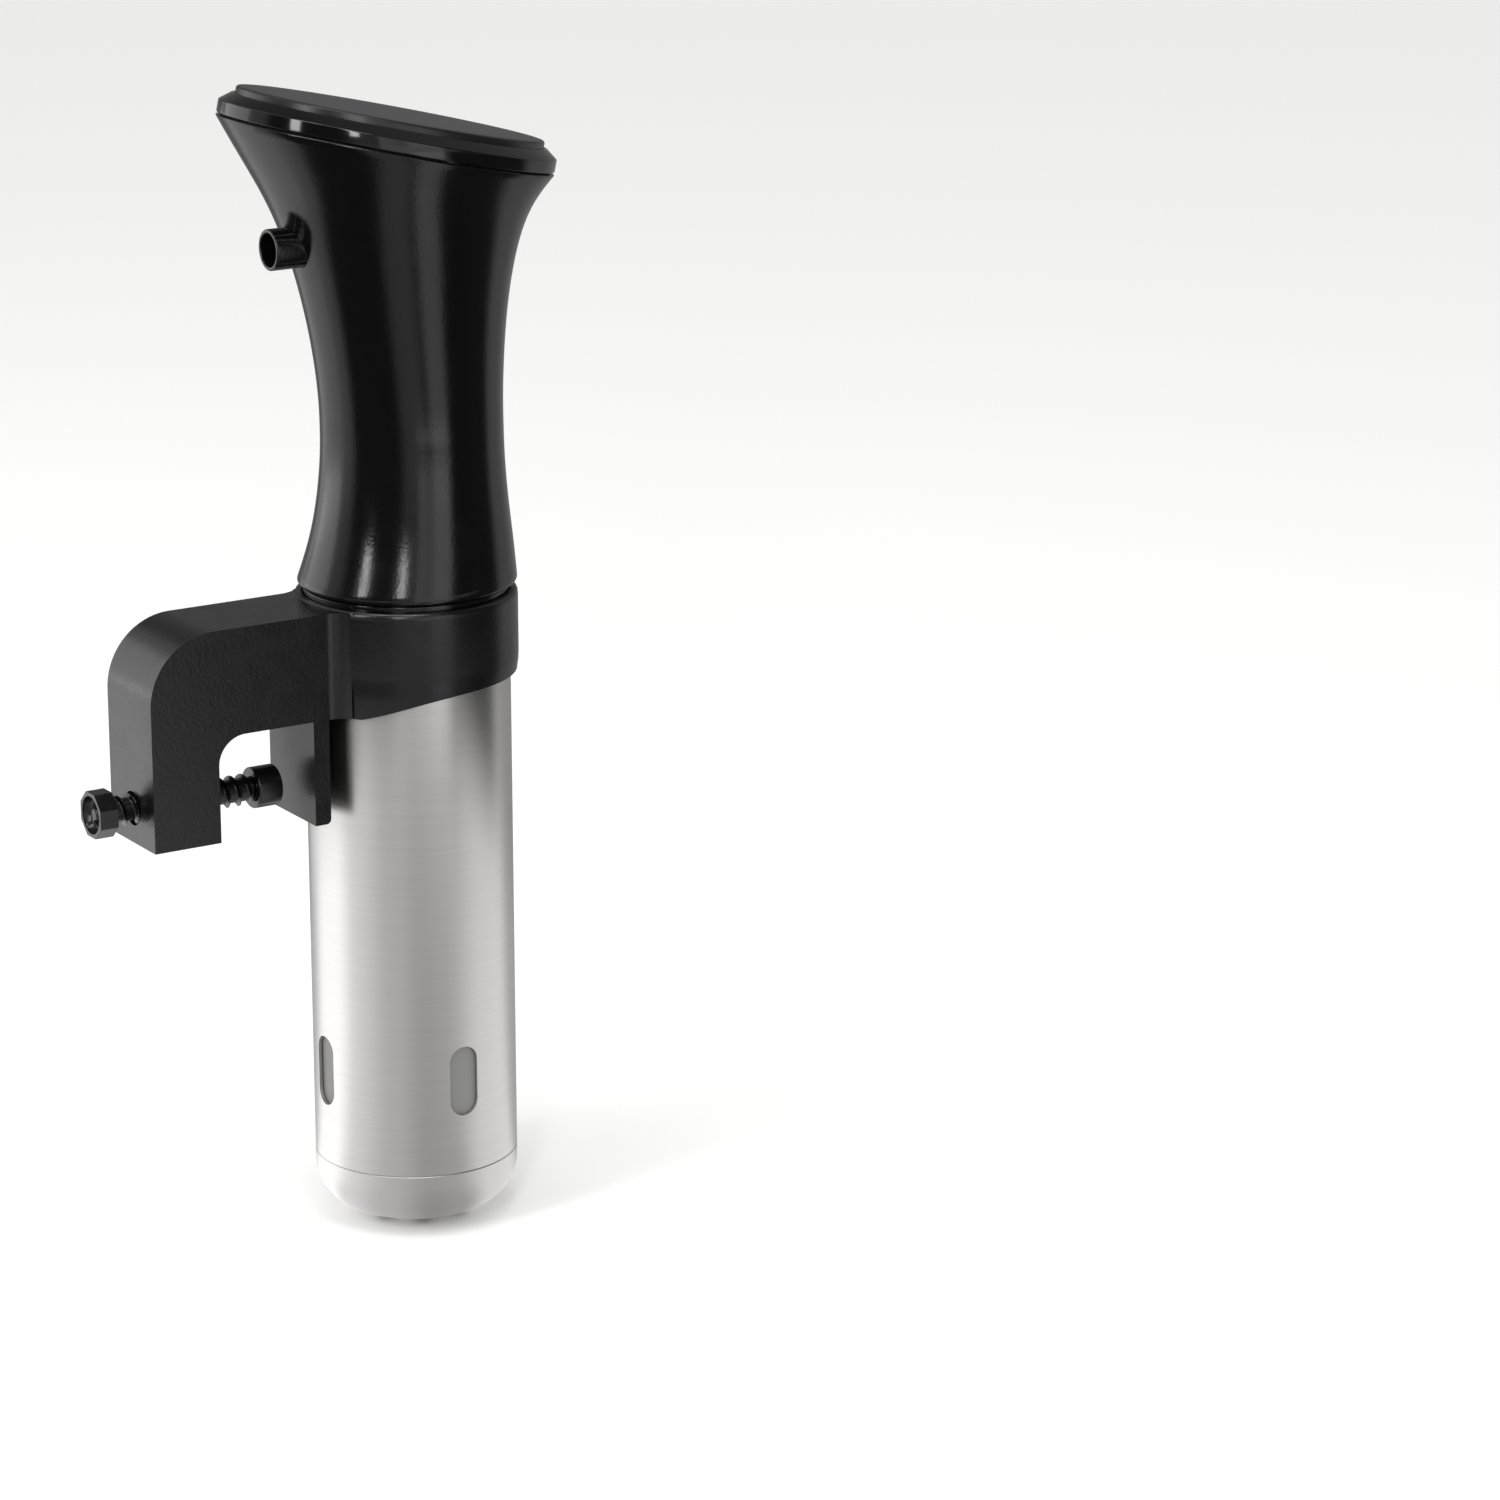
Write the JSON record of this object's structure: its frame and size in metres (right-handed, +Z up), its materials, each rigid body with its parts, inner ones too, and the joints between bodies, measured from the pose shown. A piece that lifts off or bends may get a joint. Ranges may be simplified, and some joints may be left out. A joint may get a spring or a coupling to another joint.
{
  "type": "sous vide circulator",
  "caption": "Clamp-on immersion circulator: slanted touch panel on a waisted black head, steel heater sleeve with water slots, and an arm with a hand screw that grips a bath wall.",
  "frame": {"origin": "middle of the arm's underside, halfway between the clamp's leg and its inner jaw, where the arm rests on the rim of the bath", "axes": "+Z up along the steel sleeve, +X from the clamp screw towards the sleeve, +Y to complete the right-handed frame"},
  "size_m": [0.1484, 0.0864, 0.3383],
  "materials": {
    "body_plastic": "fine grain satin",
    "bezel_plastic": "polished",
    "panel_face": "satin touch face",
    "brushed_steel": "brushed",
    "satin_steel": "satin",
    "zinc_steel": "plated",
    "screw_plastic": "satin",
    "board_green": "solder mask",
    "grey_plastic": "moulded",
    "black_rubber": "matte",
    "red_rubber": "silicone",
    "winding": "enamelled copper",
    "white_plastic": "bearing plastic"
  },
  "bodies": {
    "housing": {"bezel_ring": "bezel_plastic", "bezel_seal": "black_rubber", "board_carrier": "grey_plastic", "board_screw_1": "zinc_steel", "board_screw_2": "zinc_steel", "buzzer": "body_plastic", "cap_seal": "red_rubber", "clamp_bracket": "body_plastic", "cord_inlet": "body_plastic", "damper_ring": "black_rubber", "display_block": "body_plastic", "display_board": "board_green", "display_screw_1": "zinc_steel", "display_screw_2": "zinc_steel", "display_screw_3": "zinc_steel", "display_screw_4": "zinc_steel", "end_cap": "satin_steel", "filter_capacitor": "body_plastic", "head_shell": "body_plastic", "heat_sink": "zinc_steel", "heater_coil": "satin_steel", "level_probe_1": "satin_steel", "level_probe_2": "satin_steel", "lower_bearing": "satin_steel", "main_board": "board_green", "motor_can": "zinc_steel", "motor_cap": "zinc_steel", "motor_plate": "zinc_steel", "motor_screw_1": "zinc_steel", "motor_screw_2": "zinc_steel", "neck_plug": "body_plastic", "neck_screw_1": "zinc_steel", "neck_screw_2": "zinc_steel", "neck_screw_3": "zinc_steel", "power_relay": "body_plastic", "pump_plate": "grey_plastic", "shaft_seal": "red_rubber", "shaft_tube": "satin_steel", "sleeve_seal": "red_rubber", "slot_screen": "grey_plastic", "stator_stack": "winding", "steel_sleeve": "brushed_steel", "temperature_probe": "satin_steel", "touch_panel": "panel_face", "touch_spring_1": "zinc_steel", "touch_spring_2": "zinc_steel", "touch_spring_3": "zinc_steel", "tube_bush": "white_plastic", "upper_bearing": "satin_steel"},
    "foot": {"clamp_foot": "body_plastic"},
    "screw": {"clamp_screw": "screw_plastic", "clamp_knob": "body_plastic"},
    "rotor": {"drive_shaft": "satin_steel", "rotor_core": "zinc_steel", "impeller": "grey_plastic"}
  },
  "joints": [
    {"name": "clamp_travel", "type": "slide", "parent": "housing", "child": "foot", "axis": [1, 0, 0], "range_m": [-0.016, 0.0055]},
    {"name": "screw_spin", "type": "hinge", "parent": "foot", "child": "screw", "pos_m": [0.0014, 0, -0.0208], "axis": [1, 0, 0], "range_deg": [-1605, 555]},
    {"name": "pump_spin", "type": "hinge", "parent": "housing", "child": "rotor", "pos_m": [0.0534, 0, 0], "axis": [0, 0, 1], "continuous": true}
  ],
  "couplings": [
    {"joint": "screw_spin", "follows": "clamp_travel", "rad_per_m": 1745.3}
  ]
}
